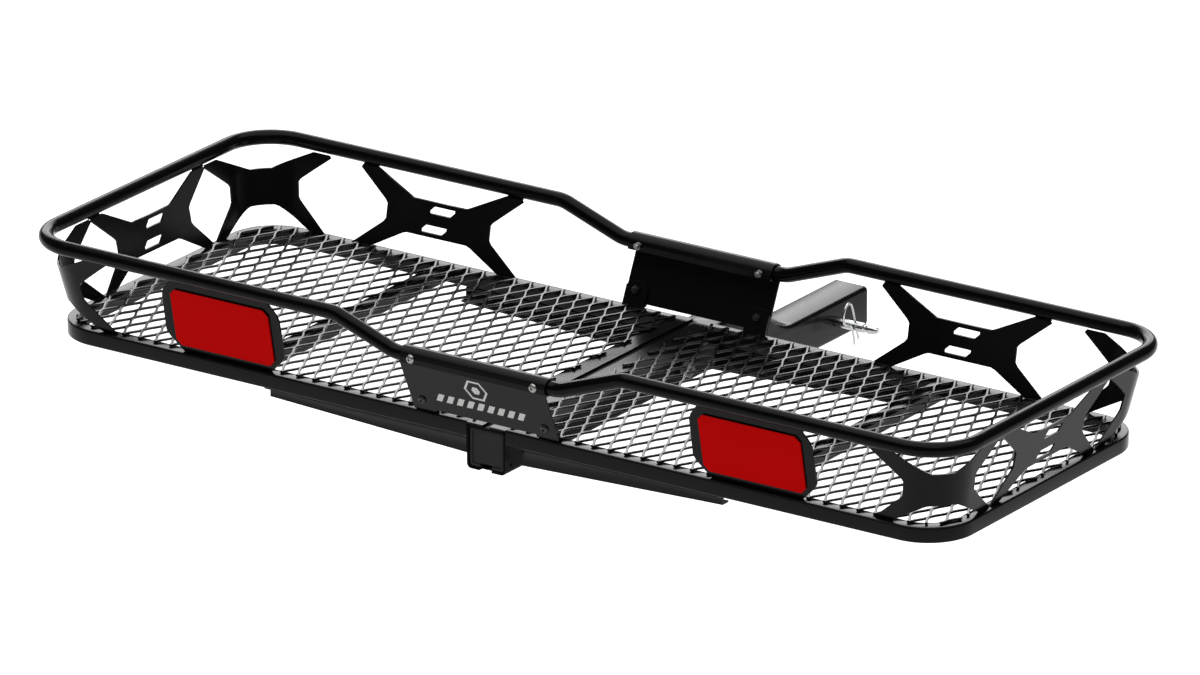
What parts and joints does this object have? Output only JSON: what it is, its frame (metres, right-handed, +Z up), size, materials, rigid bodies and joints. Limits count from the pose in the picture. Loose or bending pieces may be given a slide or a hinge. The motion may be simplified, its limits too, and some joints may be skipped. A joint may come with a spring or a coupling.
{
  "type": "hitch cargo carrier",
  "caption": "Low steel basket that rides behind a vehicle on a square receiver shank, with a grille floor, a tube rail, cross-shaped side panels and red reflectors",
  "frame": {"origin": "middle of the hitch-pin hole, on the axis of the receiver end of the shank", "axes": "+X along the basket, +Y towards the vehicle, +Z up"},
  "size_m": [1.3818, 0.8369, 0.235],
  "materials": {
    "black_coat": "satin black powder coat",
    "floor_coat": "satin black powder coat on expanded metal",
    "end_cap_black": "moulded black plastic",
    "zinc_plate": "bright zinc plate",
    "dark_fastener": "black oxide",
    "red_reflector": "deep red reflective plastic"
  },
  "bodies": {
    "carrier": {"base_frame_left": "black_coat", "base_frame_right": "black_coat", "centre_bar_left": "black_coat", "centre_bar_right": "black_coat", "centre_plate_front": "black_coat", "centre_plate_rear": "black_coat", "corner_panel_front_left": "black_coat", "corner_panel_front_right": "black_coat", "corner_panel_rear_left": "black_coat", "corner_panel_rear_right": "black_coat", "cross_tube_left": "black_coat", "cross_tube_right": "black_coat", "end_panel_left": "black_coat", "end_panel_right": "black_coat", "floor_mesh_left": "floor_coat", "floor_mesh_right": "floor_coat", "foot_bolt_front_left": "dark_fastener", "foot_bolt_front_right": "dark_fastener", "foot_bolt_rear_left": "dark_fastener", "foot_bolt_rear_right": "dark_fastener", "foot_nut_front_left": "dark_fastener", "foot_nut_front_right": "dark_fastener", "foot_nut_rear_left": "dark_fastener", "foot_nut_rear_right": "dark_fastener", "rail_bolt_front_left": "zinc_plate", "rail_bolt_front_right": "zinc_plate", "rail_bolt_rear_left": "zinc_plate", "rail_bolt_rear_right": "zinc_plate", "rail_left": "black_coat", "rail_nut_front_left": "zinc_plate", "rail_nut_front_right": "zinc_plate", "rail_nut_rear_left": "zinc_plate", "rail_nut_rear_right": "zinc_plate", "rail_right": "black_coat", "receiver_shank": "black_coat", "reflector_bracket_left": "black_coat", "reflector_bracket_right": "black_coat", "reflector_lens_left": "red_reflector", "reflector_lens_right": "red_reflector", "shank_bolt": "dark_fastener", "shank_nut": "dark_fastener", "side_panel_left": "black_coat", "side_panel_right": "black_coat", "spine_end_cap": "end_cap_black", "spine_tube": "black_coat", "support_beam_front_left": "black_coat", "support_beam_front_right": "black_coat", "support_beam_rear_left": "black_coat", "support_beam_rear_right": "black_coat"},
    "pin": {"hitch_pin": "zinc_plate"},
    "clip": {"pin_clip": "zinc_plate"}
  },
  "joints": [
    {"name": "pin_slide", "type": "slide", "parent": "carrier", "child": "pin", "axis": [-1, 0, 0], "range_m": [0, 0.115]},
    {"name": "clip_pull", "type": "slide", "parent": "pin", "child": "clip", "axis": [0, -0.309, 0.9511], "range_m": [0, 0.3]}
  ],
  "couplings": [
    {"joint": "clip_pull", "follows": "pin_slide", "ratio": 2.6}
  ]
}
